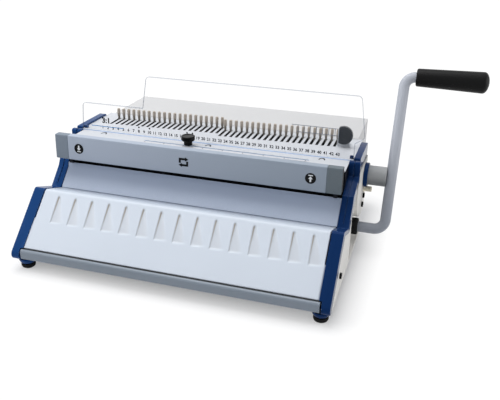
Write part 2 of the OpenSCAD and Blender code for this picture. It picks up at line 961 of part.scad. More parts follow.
grip_start = lever_x + 14;
grip_end = grip_start + grip_l;
module lever_tube() {
    color("#a0a4ac")
        leaned() {
            translate([lever_x, 0, -lever_down + tube_bend])
                cylinder(d = tube_d, h = lever_up + lever_down - 2 * tube_bend);
            translate([lever_x + tube_bend, 0, lever_up - tube_bend])
                rotate([90, 0, 180])
                    rotate_extrude(angle = 90)
                        translate([tube_bend, 0])
                            circle(d = tube_d);
            translate([lever_x - tube_bend, 0, -lever_down + tube_bend])
                rotate([90, 0, 0])
                    rotate_extrude(angle = -90)
                        translate([tube_bend, 0])
                            circle(d = tube_d);
            bar_x(lever_x + tube_bend, grip_end - 8, 0, lever_up, tube_d);
            bar_x(buffer_in + buffer_t, lever_x - tube_bend, 0, -lever_down, tube_d);
        }
}

// Moulded hand grip, pushed over the end of the tube
module lever_grip() {
    length = grip_end - lever_x - tube_bend;
    small = 12.5;
    large = grip_d / 2;
    dome = 8;
    color("#1e1e20")
        leaned()
            translate([lever_x + tube_bend, 0, lever_up])
                rotate([0, 90, 0])
                    difference() {
                        rotate_extrude()
                            polygon(concat(
                                [[0, 0], [small - 1.5, 0], [small, 1.5], [large, length - dome]],
                                [for (a = [10 : 10 : 90]) [large * cos(a), length - dome + dome * sin(a)]]
                            ));
                        translate([0, 0, -1])
                            cylinder(d = tube_d, h = length - 7);
                    }
}

// Turned hub, coped to the side of the tube
hub_out = lever_x - tube_d / 2 + 1;
module lever_hub() {
    color("#98968f")
        difference() {
            bar_x(hub_in, hub_out, lever_y, lever_z, hub_d);
            leaned()
                translate([lever_x, 0, -hub_d])
                    cylinder(d = tube_d, h = 2 * hub_d);
            bar_x(hub_in - 1, hub_in + 24, lever_y, lever_z, shaft_d);
        }
}

module lever_buffer() {
    color("#1a1a1c")
        translate([buffer_in, lever_leg[0], lever_leg[1]])
            rotate([0, 90, 0])
                rotate_extrude()
                    polygon([[0, 0], [buffer_d / 2 - 1, 0], [buffer_d / 2, 1], [buffer_d / 2, buffer_t - 1],
                        [buffer_d / 2 - 1, buffer_t], [0, buffer_t]]);
}

module closing_shaft() {
    color("#b9bdc2")
        bar_x(-web_out, hub_in + 24, lever_y, lever_z, shaft_d);
}

// Pinions on the lever shaft, one over each closer rack
module closing_pinions() {
    color("#8f9398")
        both_sides()
            difference() {
                across(arm_in - 0.5, arm_out + 0.5)
                    translate([lever_y, lever_z])
                        polygon(gear_outline(pinion_teeth, rack_module, -90));
                bar_x(arm_in - 2, arm_out + 2, lever_y, lever_z, shaft_d);
            }
}

// Arms of the closer, with the rack teeth under the lever shaft
module closer_racks() {
    pitch_z = lever_z - pinion_r;
    root_z = pitch_z - 1.15 * rack_module;
    tip_z = pitch_z + 0.85 * rack_module;
    step = PI * rack_module;
    tooth = step / 4 - 0.14 * rack_module;
    tip = tooth - 0.85 * rack_module * tan(20);
    root = tooth + 1.15 * rack_module * tan(20);
    first = -ceil(closer_travel / step) - 3;
    foot = root_z - 10;
    web_back = lever_y - 25;
    teeth = [for (i = [2 : -1 : first])
        let (y = lever_y + (i + 0.5) * step)
        each [[y + root, root_z], [y + tip, tip_z], [y - tip, tip_z], [y - root, root_z]]];
    color("#a7abb0")
        both_sides()
            across(arm_in, arm_out)
                polygon(concat(
                    [[web_back - 14, foot], [lever_y + 12, foot], [lever_y + 12, root_z]],
                    teeth,
                    [[web_back, root_z], [web_back, arm_top], [bar_back + 8, arm_top]],
                    [[bar_back + 8, deck_low - 2], [bar_back, deck_low - 2], [bar_back, arm_low]],
                    [[web_back - 14, arm_low]]
                ));
}

// Extruded closing bar and its end caps, drawn as one section
module bar_section() {
    lean = 1.8;
    r = 1.5;
    polygon(concat(
        [[bar_back, bar_low], [bar_back, bar_top]],
        arc([bar_front + lean + r, bar_top - r], r, 90, 180, 4),
        arc([bar_front + r, bar_low + r], r, 180, 270, 4)
    ));
}

bar_wall = 2.4;
module closing_bar() {
    color("#8c94a0")
        across(row_x - bar_l / 2 + cap_l, row_x + bar_l / 2 - cap_l)
            difference() {
                bar_section();
                // Two chambers with a rib between them
                for (z = [bar_low + bar_wall, bar_low + bar_h / 2 + bar_wall / 2])
                    translate([bar_front + 2 * bar_wall, z])
                        square([bar_d - 3 * bar_wall, bar_h / 2 - 1.5 * bar_wall]);
            }
}

module bar_end_caps() {
    color("#6c767d")
        translate([row_x, 0, 0])
            both_sides()
                across(bar_l / 2 - cap_l, bar_l / 2)
                    bar_section();
}

// Beam that pushes all pins, with the forks of its cam followers
fork_t = 4;
fork_gap = cam_w + 1;
beam_low = block_low;
beam_high = deck_low - 2;
follower_pin_d = 6;
fork_r = 7;
module punch_beam() {
    y1 = beam_y + beam_d;
    fork = concat(
        [[y1, beam_high], [y1, beam_low]],
        arc([follower_y, cam_z], fork_r, 200, 340, 6),
        [[follower_y + fork_r, cam_z + 4], [follower_y - 8, beam_high - 4]]
    );
    color("#9da1a6")
        difference() {
            union() {
                block([-plate_in + 1, beam_y, beam_low], [plate_in - 1, y1, beam_high]);
                for (x = [-cam_x, cam_x])
                    for (side = [-1, 1])
                        translate([x + side * (fork_gap + fork_t) / 2, 0, 0])
                            across(-fork_t / 2, fork_t / 2)
                                polygon(fork);
            }
            both_sides()
                bar_y(beam_y - 1, y1 + 1, rod_x, pin_z, rod_d + 2 * run_gap);
            for (x = [-cam_x, cam_x])
                bar_x(x - 12, x + 12, follower_y, cam_z, follower_pin_d);
        }
}

// Followers held between the forks, in front of the cams
module cam_followers() {
    color("#c2c6ca")
        for (x = [-cam_x, cam_x]) {
            bar_x(x - cam_w / 2, x + cam_w / 2, follower_y, cam_z, follower_d);
            bar_x(x - fork_gap / 2 - fork_t, x + fork_gap / 2 + fork_t, follower_y, cam_z, follower_pin_d);
        }
}

// Hardened pins, stepped so that they punch one after another
module punch_pins() {
    color("#c2c6ca")
        for (i = [0 : row_count - 1])
            bar_y(pin_start + pin_step(i), beam_y, pin_x(i), pin_z, pin_d);
}

// Beige pull on each pin: a narrow stem through the slot in the deck, and a wider rounded head
module pin_pull(i) {
    y = pull_y + pin_step(i);
    x = pin_x(i);
    collar = pin_d + 2.4;
    head = pull_w / 2;
    stem = stem_w / 2;
    neck = deck_z + pull_neck;
    top = deck_z + pull_h;
    r = 1.6;
    difference() {
        union() {
            block([x - collar / 2, y, pin_z - collar / 2], [x + collar / 2, y + pull_t, pin_z + collar / 2]);
            translate([x, y + pull_t, 0])
                rotate([90, 0, 0])
                    linear_extrude(pull_t)
                        polygon(concat(
                            [[-stem, pin_z], [stem, pin_z], [stem, neck - 2], [head, neck]],
                            arc([head - r, top - r], r, 0, 90, 3),
                            arc([r - head, top - r], r, 90, 180, 3),
                            [[-head, neck], [-stem, neck - 2]]
                        ));
        }
        bar_y(y - 1, y + pull_t + 1, x, pin_z, pin_d);
    }
}

module pin_pulls_left() {
    color("#b4a999")
        for (i = [0 : half_count - 1])
            pin_pull(i);
}

module pin_pulls_right() {
    color("#b4a999")
        for (i = [half_count : row_count - 1])
            pin_pull(i);
}

// Compression springs on the beam rods, one unbroken wire each, drawn as rings of six points
spring_wire = 1.3;
spring_d = 11;
spring_curls = 9;
spring_rings = 8;
spring_l = beam_y - guide_back - 2 * seat_gap;
function spring_at(t) =
    let (a = 360 * spring_curls * t, lift = spring_wire + (spring_l - 2 * spring_wire) * t)
    [spring_d / 2 * cos(a), lift, spring_d / 2 * sin(a)];
function spring_ring(t, side) =
    let (a = 360 * spring_curls * t, b = 60 * side)
    let (out = [cos(a), 0, sin(a)])
    spring_at(t) + spring_wire / 2 * (cos(b) * out + [0, sin(b), 0]);
module spring() {
    rings = spring_curls * spring_rings;
    points = [for (k = [0 : rings], s = [0 : 5]) spring_ring(k / rings, s)];
    walls = [for (k = [0 : rings - 1], s = [0 : 5])
        let (a = k * 6 + s, b = k * 6 + (s + 1) % 6)
        each [[a, b, b + 6], [a, b + 6, a + 6]]];
    ends = [for (s = [1 : 4]) each [[0, s + 1, s], [rings * 6, rings * 6 + s, rings * 6 + s + 1]]];
    polyhedron(points, concat(walls, ends));
}

module return_springs() {
    color("#d0d3d6")
        for (side = [-1, 1])
            translate([side * rod_x, guide_back + seat_gap, pin_z])
                spring();
}

// Cam shaft across the rear housing
module cam_shaft() {
    color("#b9bdc2")
        bar_x(-bracket_x - bracket_t + 1, bracket_x + bracket_t + 4, cam_y, cam_z, cam_shaft_d);
}

// Two snail cams that push the followers forward as they turn
module punch_cams() {
    dwell = 48;
    over = 6;
    color("#7d8288")
        for (x = [-cam_x, cam_x])
            difference() {
                across(x - cam_w / 2, x + cam_w / 2)
                    translate([cam_y, cam_z])
                        polygon([for (turn = [-dwell : 6 : cam_turn + over]) cam_point(turn)]);
                bar_x(x - cam_w, x + cam_w, cam_y, cam_z, cam_shaft_d);
            }
}

module cam_gear() {
    color("#c2b27a")
        difference() {
            union() {
                across(-gear_x - gear_w / 2, -gear_x + gear_w / 2)
                    translate([cam_y, cam_z])
                        polygon(gear_outline(gear_teeth, gear_module, gear_line));
                bar_x(-gear_x - gear_w / 2 - 3, -gear_x + gear_w / 2, cam_y, cam_z, 24);
            }
            bar_x(-gear_x - gear_w, -gear_x + gear_w, cam_y, cam_z, cam_shaft_d);
            for (a = [0 : 60 : 300])
                bar_x(-gear_x - gear_w, -gear_x + gear_w, cam_y + 17 * cos(a), cam_z + 17 * sin(a), 6);
        }
}

// Motor pinion with its shaft
module motor_pinion() {
    phase = gear_line + 180 + 180 / drive_teeth;
    color("#c2c6ca") {
        across(-gear_x - gear_w / 2 - 1, -gear_x + gear_w / 2 + 1)
            translate([motor_y, motor_z])
                polygon(gear_outline(drive_teeth, gear_module, phase));
        bar_x(-bracket_x - bracket_t - 13, -gear_x - gear_w / 2 - 1, motor_y, motor_z, motor_shaft_d);
    }
}

// Black mushroom knob that sets the wire size, and the slider under the deck
module size_knob() {
    r = knob_d / 2;
    color("#18181a")
        translate([knob_x, knob_y, deck_z + scale_t + slide_gap])
            rotate_extrude()
                polygon([
                    [0, 0], [5.6, 0], [6, 0.6], [6, knob_h - 7.6],
                    [r - 1.2, knob_h - 7], [r, knob_h - 5.8], [r, knob_h - 0.8], [r - 0.8, knob_h],
                    [r - 2, knob_h], [r - 2.6, knob_h - 0.8], [0, knob_h - 0.8]
                ]);
}

module size_slider() {
    color("#3a3d42") {
        translate([knob_x, knob_y, deck_low - 7])
            cylinder(d = knob_slot_w - 2 * slide_gap, h = 7 + sheet_t + scale_t + slide_gap);
        block([knob_x - 7, knob_y - 3.5, deck_low - 7.5], [knob_x + 7, knob_y + 2.4, deck_low - slide_gap]);
    }
}

// Chip drawer: a tray of thin sheet, and the rounded front bar
module chip_tray() {
    high = tray_front_top - 3;
    color("#b4b8bc")
        difference() {
            block([-tray_x, tray_front_y, tray_low], [tray_x, tray_back, high]);
            block([-tray_x + tray_wall, tray_front_y + tray_wall, tray_low + tray_wall],
                [tray_x - tray_wall, tray_back - tray_wall, high + 1]);
        }
}

module tray_front() {
    low = tray_front_low;
    high = tray_front_top;
    front = tray_front_y - tray_front_d;
    color("#7a8590")
        across(-tray_front_x, tray_front_x)
            polygon(concat(
                [[tray_front_y, low], [tray_front_y, high]],
                arc([front + 4, high - 4], 4, 90, 180, 6),
                arc([front + 3, low + 3], 3, 180, 270, 6)
            ));
}

base_pan();
side_plate_left();
side_plate_right();
side_trim_left();
side_trim_right();
side_cover_left();
side_cover_right();
cover_screws();
front_panel();
rest_panel();
anvil_bar();
front_deck();
size_scale();
rear_deck();
rear_housing();
clear_guard();
guard_clips();
die_block();
pin_guide();
beam_rods();
tie_rods();
foot_blocks();
rubber_feet();
lever_bushes();
hub_ring();
lever_stop();
nylon_peg();
carriage_guides();
cam_bracket_left();
cam_bracket_right();
gear_motor();
power_inlet();
switch_bezel();
drawer_runners();
stop_bracket();
lever_tube();
lever_grip();
lever_hub();
lever_buffer();
closing_shaft();
closing_pinions();
closer_racks();
closing_bar();
bar_end_caps();
punch_beam();
punch_pins();
pin_pulls_left();
pin_pulls_right();
cam_followers();
return_springs();
cam_shaft();
punch_cams();
cam_gear();
motor_pinion();
size_knob();
size_slider();
stop_knob();
chip_tray();
tray_front();
power_rocker();
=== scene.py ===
import json
import math

import bmesh
import bpy
from mathutils import Matrix, Vector

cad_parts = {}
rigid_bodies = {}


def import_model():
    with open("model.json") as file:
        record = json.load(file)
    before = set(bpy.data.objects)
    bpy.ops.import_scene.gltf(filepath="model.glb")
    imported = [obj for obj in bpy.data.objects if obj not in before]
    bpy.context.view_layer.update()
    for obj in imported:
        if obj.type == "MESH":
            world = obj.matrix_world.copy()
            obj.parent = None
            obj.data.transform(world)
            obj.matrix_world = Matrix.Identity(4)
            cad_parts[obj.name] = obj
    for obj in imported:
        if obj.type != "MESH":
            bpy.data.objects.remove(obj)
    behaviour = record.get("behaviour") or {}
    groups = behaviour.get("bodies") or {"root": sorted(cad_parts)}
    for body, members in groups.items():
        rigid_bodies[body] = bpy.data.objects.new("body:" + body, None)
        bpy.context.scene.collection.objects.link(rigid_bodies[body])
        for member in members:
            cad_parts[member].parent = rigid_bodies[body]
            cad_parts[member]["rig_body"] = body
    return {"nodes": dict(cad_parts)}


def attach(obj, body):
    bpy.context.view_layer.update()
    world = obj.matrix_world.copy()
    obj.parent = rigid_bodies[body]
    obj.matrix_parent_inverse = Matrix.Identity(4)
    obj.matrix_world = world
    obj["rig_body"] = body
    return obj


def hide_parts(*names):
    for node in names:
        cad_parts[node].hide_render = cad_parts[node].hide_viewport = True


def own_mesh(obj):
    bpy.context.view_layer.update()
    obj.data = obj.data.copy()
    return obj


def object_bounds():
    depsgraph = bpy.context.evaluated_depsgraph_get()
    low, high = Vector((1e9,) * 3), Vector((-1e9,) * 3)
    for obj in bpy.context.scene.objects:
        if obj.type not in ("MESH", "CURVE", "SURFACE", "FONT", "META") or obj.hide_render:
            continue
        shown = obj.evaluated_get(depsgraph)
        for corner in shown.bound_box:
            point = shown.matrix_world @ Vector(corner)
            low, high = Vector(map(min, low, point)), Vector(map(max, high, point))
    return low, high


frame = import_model()
cad_low, cad_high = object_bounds()
scene = bpy.context.scene
scene.view_settings.view_transform = "Standard"


# Camera: a standing viewer's place in front of the right half of the machine, looking down at it,
# with the picture's own focal length.
camera_place = Vector((0.304, -0.818, 0.447))
camera_forward = Vector((-0.262, 0.873, -0.411)).normalized()
camera_side = Vector((0.956, 0.294, 0.015))
camera_side = (camera_side - camera_forward * camera_side.dot(camera_forward)).normalized()
camera_up = camera_side.cross(camera_forward)
camera_data = bpy.data.cameras.new("camera")
camera_data.sensor_width = 36
camera_data.lens = 46
camera = bpy.data.objects.new("camera", camera_data)
camera_axes = Matrix((camera_side, camera_up, -camera_forward)).transposed()
camera.matrix_world = Matrix.Translation(camera_place) @ camera_axes.to_4x4()
scene.collection.objects.link(camera)
scene.camera = camera


# Studio: a broad soft box overhead, which throws the shadow that lies close under the machine,
# and two weaker ones from the left front and the right.
def soft_box(name, place, target, width, watts):
    lamp = bpy.data.lights.new(name, "AREA")
    lamp.size = width
    lamp.energy = watts
    box = bpy.data.objects.new(name, lamp)
    box.location = place
    box.rotation_euler = (Vector(target) - Vector(place)).to_track_quat("-Z", "Y").to_euler()
    scene.collection.objects.link(box)


machine_middle = (cad_low + cad_high) / 2
soft_box("overhead_box", (-0.35, 0.1, 1.6), (0, 0, 0.1), width=1.4, watts=22)
soft_box("left_box", (-1.5, -0.7, 0.9), machine_middle, width=0.8, watts=9)
soft_box("right_box", (1.5, 0.1, 0.5), machine_middle, width=0.8, watts=5)


# Floor: one pale sheet, which takes the soft shadow close round the machine.
# Further out it glows as white as the backdrop, so that no horizon shows.
class Wire:
    """One socket of a node tree. Sums and products of wires add the Math nodes for them."""

    def __init__(self, tree, socket):
        self.tree = tree
        self.socket = socket

    def math(self, operation, first, second):
        step = self.tree.nodes.new("ShaderNodeMath")
        step.operation = operation
        for place, value in zip(step.inputs, (first, second)):
            feed(self.tree, place, value)
        return Wire(self.tree, step.outputs[0])

    def __add__(self, other):
        return self.math("ADD", self, other)

    def __radd__(self, other):
        return self.math("ADD", other, self)

    def __sub__(self, other):
        return self.math("SUBTRACT", self, other)

    def __mul__(self, other):
        return self.math("MULTIPLY", self, other)

    def __rmul__(self, other):
        return self.math("MULTIPLY", other, self)


def feed(tree, socket, value):
    if isinstance(value, Wire):
        tree.links.new(value.socket, socket)
    else:
        socket.default_value = value


def seen_directly(tree):
    """1 for a ray from the camera, off a glossy face or through a clear one, and 0 for any other."""
    paths = tree.nodes.new("ShaderNodeLightPath")
    share = Wire(tree, paths.outputs["Is Camera Ray"])
    for kind in ("Is Glossy Ray", "Is Transmission Ray"):
        share = share.math("MAXIMUM", share, Wire(tree, paths.outputs[kind]))
    return share


class Finish:
    """A material: its surface shader, and one method that lays any node."""

    def __init__(self, name, **values):
        self.material = bpy.data.materials.new(name)
        self.material.use_nodes = True
        self.tree = self.material.node_tree
        self.surface = self.tree.nodes["Principled BSDF"]
        for key, value in values.items():
            socket = key.replace("_", " ").title().replace("Ior", "IOR")
            self.surface.inputs[socket].default_value = value

    def node(self, kind, settings=None, output=0, **sockets):
        """Inputs go by name, or by number as at0, at1 and so on where a name isn't enough."""
        step = self.tree.nodes.new("ShaderNode" + kind)
        for key, value in (settings or {}).items():
            setattr(step, key, value)
        for key, value in sockets.items():
            socket = int(key[2:]) if key.startswith("at") else key.replace("_", " ")
            feed(self.tree, step.inputs[socket], value)
        return Wire(self.tree, step.outputs[output])

    def set(self, socket, value):
        feed(self.tree, self.surface.inputs[socket], value)

    def wired(self, socket):
        """What feeds a socket of the surface so far."""
        return Wire(self.tree, self.surface.inputs[socket].links[0].from_socket)

    def place(self):
        """A point's place on the machine, because every piece sits at the origin."""
        return self.node("TexCoord", output="Object")

    def noise(self, scale, detail=2.0, stretch=(1, 1, 1)):
        place = self.place()
        if stretch != (1, 1, 1):
            place = self.node("Mapping", Vector=place, Scale=stretch)
        return self.node("TexNoise", Vector=place, Scale=scale, Detail=detail)

    def ramp(self, axis, start, end):
        """A smooth share from 0 to 1 along one axis of the machine."""
        along = self.node("SeparateXYZ", output=axis, Vector=self.place())
        smooth = {"interpolation_type": "SMOOTHSTEP"}
        return self.node("MapRange", smooth, Value=along, From_Min=start, From_Max=end)

    def mix(self, share, first, second):
        return self.node("Mix", {"data_type": "RGBA"}, output=2, at0=share, at6=first, at7=second)

    def fade(self, axis, start, end, first, second):
        """A colour that goes over from one to another along one axis of the machine."""
        self.set("Base Color", self.mix(self.ramp(axis, start, end), first, second))

    def bump(self, height, depth):
        self.set("Normal", self.node("Bump", Height=height, Strength=1.0, Distance=depth))


floor_reach = 12
floor_corners = [(-floor_reach, -floor_reach, 0), (floor_reach, -floor_reach, 0),
                 (floor_reach, floor_reach, 0), (-floor_reach, floor_reach, 0)]
floor_mesh = bpy.data.meshes.new("floor")
floor_mesh.from_pydata(floor_corners, [], [(0, 1, 2, 3)])
floor = bpy.data.objects.new("floor", floor_mesh)
scene.collection.objects.link(floor)
floor_paint = Finish("floor_paint", base_color=(0.85, 0.85, 0.86, 1), roughness=0.9)
machine_half = (0.212, 0.155, 0)
shadow_reach = (0.05, 0.09, 1)
glow_at_machine = 0.17
away = floor_paint.place()
for operation, amount in (("ABSOLUTE", (0, 0, 0)), ("SUBTRACT", machine_half),
                          ("MAXIMUM", (0, 0, 0)), ("DIVIDE", shadow_reach)):
    away = floor_paint.node("VectorMath", {"operation": operation}, at0=away, at1=amount)
away = floor_paint.node("VectorMath", {"operation": "LENGTH"}, output="Value", at0=away)
away = floor_paint.node("MapRange", Value=away, To_Min=glow_at_machine)
glow = floor_paint.node("Emission", Color=(1, 1, 1, 1), Strength=1.05)
shadowed = Wire(floor_paint.tree, floor_paint.surface.outputs[0])
blend = floor_paint.node("MixShader", at0=seen_directly(floor_paint.tree) * away, at1=shadowed, at2=glow)
feed(floor_paint.tree, floor_paint.tree.nodes["Material Output"].inputs["Surface"], blend)
floor_mesh.materials.append(floor_paint.material)


# Room: an even pale light from all sides. The camera, and what it sees in a glossy face
# or through a clear one, gets a plain white backdrop instead.
world = bpy.data.worlds.new("room")
scene.world = world
world.use_nodes = True
room = world.node_tree
room_light = room.nodes["Background"]
room_light.inputs["Color"].default_value = (0.96, 0.98, 1, 1)
room_light.inputs["Strength"].default_value = 0.4
backdrop = room.nodes.new("ShaderNodeBackground")
backdrop.inputs["Color"].default_value = (1, 1, 1, 1)
choose = room.nodes.new("ShaderNodeMixShader")
feed(room, choose.inputs[0], seen_directly(room))
room.links.new(room_light.outputs[0], choose.inputs[1])
room.links.new(backdrop.outputs[0], choose.inputs[2])
room.links.new(choose.outputs[0], room.nodes["World Output"].inputs["Surface"])


# Steel frame: a folded zinc-plated pan, two punched side plates and the turned rods that tie them.
# It is inside the covers, but for the plates' front part beside the closing bar, which is painted near black
# as painted shade, and their rear edges in front of the housing.
def shade(code):
    """A colour written as six hex digits, as the linear values that a shader takes."""
    parts = [int(code[i:i + 2], 16) / 255 for i in (0, 2, 4)]
    return tuple(p / 12.92 if p <= 0.04045 else ((p + 0.055) / 1.055) ** 2.4 for p in parts) + (1,)


def toned(code, factor):
    """The same colour, darker or lighter."""
    return tuple(min(1, part * factor) for part in shade(code)[:3]) + (1,)


def coat(nodes, finish):
    """Paints CAD solids that show as they are."""
    for name in nodes:
        mesh = frame["nodes"][name].data
        mesh.materials.clear()
        mesh.materials.append(finish.material)


def metal(name, colour, roughness, streak=(1, 1, 1)):
    """Bare or plated metal: cloudy in tone, with fine marks drawn out along the axis of the least streak."""
    finish = Finish(name, metallic=1.0)
    cloud_scale = 160
    cloud = finish.noise(cloud_scale, 4.0, streak)
    fine = finish.noise(cloud_scale * 9, 2.0, streak)
    finish.set("Base Color", finish.mix(cloud, shade(colour), toned(colour, 0.8)))
    finish.set("Roughness", roughness + 0.12 * (fine - 0.5))
    finish.bump(fine, 0.00004)
    return finish


zinc = metal("zinc_plate", "B4B8BC", 0.42)
coat(["base_pan", "chip_tray", "drawer_runners"], zinc)
plate_zinc_painted_shade = metal("plate_zinc_painted_shade", "B4B8BC", 0.42)
# Painted shade: the plates are near black ahead of the middle of the machine, beside the closing bar.
plate_zinc_painted_shade.fade("Y", 0.0, 0.02, shade("16181B"), plate_zinc_painted_shade.wired("Base Color"))
coat(["side_plate_left", "side_plate_right"], plate_zinc_painted_shade)
turned_steel = metal("turned_steel", "C4C8CC", 0.3, (1, 12, 12))
coat(["tie_rods", "closing_shaft", "cam_shaft", "beam_rods", "cam_followers", "motor_pinion"],
     turned_steel)


# Works of the closer and the punch: pinions, guides and cams of ground tool steel, bars and pins
# that are oiled dark, brass bushes and cam gear, and a dark motor case. Where the rack arms and the anvil
# bar show in the gap under the closing bar, their dark also stands as painted shade.
ground_steel = metal("ground_steel", "6F747A", 0.36, (1, 8, 8))
coat(["closing_pinions", "carriage_guides", "punch_cams", "cam_bracket_left", "cam_bracket_right"],
     ground_steel)
oiled_steel_and_shade = metal("oiled_steel_and_shade", "24262A", 0.5)
# Dark oiled steel, which on the rack arms and anvil bar also serves as painted shade under the closing bar.
coat(["anvil_bar", "closer_racks", "punch_beam", "punch_pins", "size_slider"], oiled_steel_and_shade)
brass = metal("bush_brass", "B08D48", 0.3)
coat(["lever_bushes", "cam_gear"], brass)
motor_case = metal("motor_case", "4A4D52", 0.45)
coat(["gear_motor"], motor_case)


# Side trims: deep blue injection mouldings that close the two sides, with a rounded glossy rim,
# whose bevels are painted a lighter blue as a painted highlight.
# The cups over the feet, the collar at the lever's hub and the guard's holders are of the same blue.
# The blue is painted lighter towards the left, as painted light from the left.
def placed(piece, body):
    """Puts a finished piece on its moving body."""
    if not piece.users_collection:
        scene.collection.objects.link(piece)
    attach(piece, body)
    return piece


def softened(node, finish, radius=0.0006, segments=2):
    """A copy of a CAD solid with its triangles joined and its edges rounded, which stands for it."""
    same_point = 2e-6
    flat_enough = math.radians(0.6)
    sharp_edge = math.radians(35)
    mesh = frame["nodes"][node].data.copy()
    work = bmesh.new()
    work.from_mesh(mesh)
    bmesh.ops.remove_doubles(work, verts=work.verts, dist=same_point)
    bmesh.ops.dissolve_limit(work, angle_limit=flat_enough, verts=work.verts, edges=work.edges)
    work.to_mesh(mesh)
    work.free()
    mesh.materials.clear()
    mesh.materials.append(finish.material)
    piece = bpy.data.objects.new(node + "_piece", mesh)
    if radius:
        edge = piece.modifiers.new("Edges", "BEVEL")
        edge.width = radius
        edge.segments = segments
        edge.limit_method = "ANGLE"
        edge.angle_limit = sharp_edge
        edge.harden_normals = True
    mesh.shade_smooth()
    mesh.set_sharp_from_angle(angle=sharp_edge)
    placed(piece, frame["nodes"][node]["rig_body"])
    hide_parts(node)
    return piece


def moulding(name, colour, roughness, grain=0.00006, grain_scale=1400, drift=0.04, **values):
    """Moulded or sprayed plastic: a fine even grain, with a slow drift of tone and gloss.

    A colour of None is left to be set by place on the machine."""
    finish = Finish(name, **{"specular_ior_level": 0.3, **values})
    cloud = finish.noise(9, 3.0)
    fine = finish.noise(grain_scale)
    if colour:
        finish.set("Base Color", finish.mix(cloud, toned(colour, 1 - drift), toned(colour, 1 + drift)))
    finish.set("Roughness", roughness + 0.1 * (fine - 0.5) + 0.06 * (cloud - 0.5))
    finish.bump(fine, grain)
    return finish


machine_ends = (-0.2, 0.2)
blue_trim = moulding("blue_trim", "112C57", 0.16, grain=0.00001, drift=0.12, specular_ior_level=0.09,
                     specular_tint=(0.2, 0.35, 0.8, 1))
# Painted light: the blue turns lighter towards the machine's left end.
blue_trim.fade("X", *machine_ends, shade("1B3F72"), blue_trim.wired("Base Color"))
# Painted highlight: the trims' bevelled edges take a lighter, glossier blue.
blue_edge_painted_highlight = moulding("blue_edge_painted_highlight", "5078B4", 0.14, grain=0, specular_ior_level=0.5)
for side in ("left", "right"):
    trim = softened("side_trim_" + side, blue_trim, 0.0009, 3)
    trim.data.materials.append(blue_edge_painted_highlight.material)
    trim.modifiers["Edges"].material = 1
for node in ("foot_blocks", "hub_ring", "guard_clips"):
    softened(node, blue_trim, 0.0009, 3)


# Die and pin guide: ground blocks plated to a pale satin, screwed in under the decks.
# They glow faintly, which is painted light, so that the throat between them reads light.
pale_plate_painted_glow = moulding("pale_plate_painted_glow", "DCE6F4", 0.5, emission_color=shade("A9BAD6"), emission_strength=0.16)
coat(["die_block", "pin_guide"], pale_plate_painted_glow)


# Return springs: one wire coil on each rod of the punch beam, with a mesh of its own. On the machine
# the end at the pin guide stays where it is, and the coil is pressed together as the beam comes forward.
springs = softened("return_springs", turned_steel, 0)
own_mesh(springs)


# Feet and lever buffer: black moulded rubber, slightly dusty. The feet are fixed under the blue cups
# and the base, and the buffer sits on the lever's tube, where it meets its stop.
rubber = moulding("foot_rubber", "101112", 0.75, grain=0.0001, drift=0.2, specular_ior_level=0.15)
softened("rubber_feet", rubber, 0)
softened("lever_buffer", rubber, 0.0004)


# Side covers: pale moulded panels let into the trims, each with a shallow pocket, and the lever's stop.
# Black socket screws hold them to the side plates.
def repaint(piece, finish, chosen):
    """Gives another finish to the faces that a test on their normal and middle picks."""
    piece.data.materials.append(finish.material)
    for face in piece.data.polygons:
        if chosen(face.normal, face.center):
            face.material_index = len(piece.data.materials) - 1


cover = moulding("side_cover", "D4D2CE", 0.5)
# Painted light: the floors of the pockets are lighter, against the shade in them.
pocket_painted_light = moulding("pocket_painted_light", "F6F4F0", 0.6)
pocket_face = 0.206
for side in ("left", "right"):
    panel = softened("side_cover_" + side, cover, 0.0006)
    repaint(panel, pocket_painted_light,
            lambda normal, middle: abs(normal.x) > 0.9 and abs(abs(middle.x) - pocket_face) < 0.0005)
softened("lever_stop", cover, 0.0006)
screw_black = metal("screw_black", "101114", 0.42)
softened("cover_screws", screw_black, 0.0004)


# Front panel: a white moulded slope with a row of grip recesses, clipped between the two trims.
# Each recess has a short steep wall at its left, and a floor that widens to the foot
# and runs out to the right.
# The recesses are painted a warm grey as painted shade: faintly all over, and most on the steep wall.
panel_white = moulding("panel_white", "CCD4DF", 0.42, grain=0.00004)
painted_recess_shade = panel_white.node("Attribute", {"attribute_name": "painted_recess_shade"}, output=2)
panel_white.set("Base Color", panel_white.mix(painted_recess_shade, panel_white.wired("Base Color"), shade("A89E91")))
panel_foot = 0.033
panel_half_at_foot = 0.2007
panel_half_at_head = 0.1992
head_reach = 0.04
panel_wall = 0.0035
slope_foot = Vector((-0.186302, 0.032284))
slope_head = Vector((-0.125413, 0.091675))
crest_line = [(-0.122884, 0.09294), (-0.119293, 0.092042), (-0.0835, 0.08)]
recess_count = 15
recess_step = 0.0254
recess_left = 0.00165
recess_top = 0.004
recess_length = 0.0395
recess_lean = 0.0018


def ease(share):
    share = min(1, max(0, share))
    return share * share * (3 - 2 * share)


def recess_depth(across, down):
    """Depth below the slope at a distance right of a recess's left edge and down from its top."""
    share = min(1, max(0, down / recess_length))
    across += recess_lean * (1 - share)
    deep = 0.002 - 0.0008 * share
    wall = 0.0029 - 0.0019 * share
    runout = 0.0014 + 0.0215 * share
    flat_share = 0.3
    top_round = 0.003
    foot_round = 0.0035
    foot_slant = 0.06
    past_foot = down - recess_length + foot_slant * across
    held = ease(down / top_round) * (1 - ease(past_foot / foot_round + 0.5))
    if across < 0:
        lip_height = 0.00025
        lip_width = 0.0006
        from_lip = across + 0.0008
        return -lip_height * math.exp(-(from_lip / lip_width) ** 2) * held
    if across < wall:
        return deep * ease(across / wall) * held
    return deep * (1 - ease(((across - wall) / runout - flat_share) / (1 - flat_share))) * held


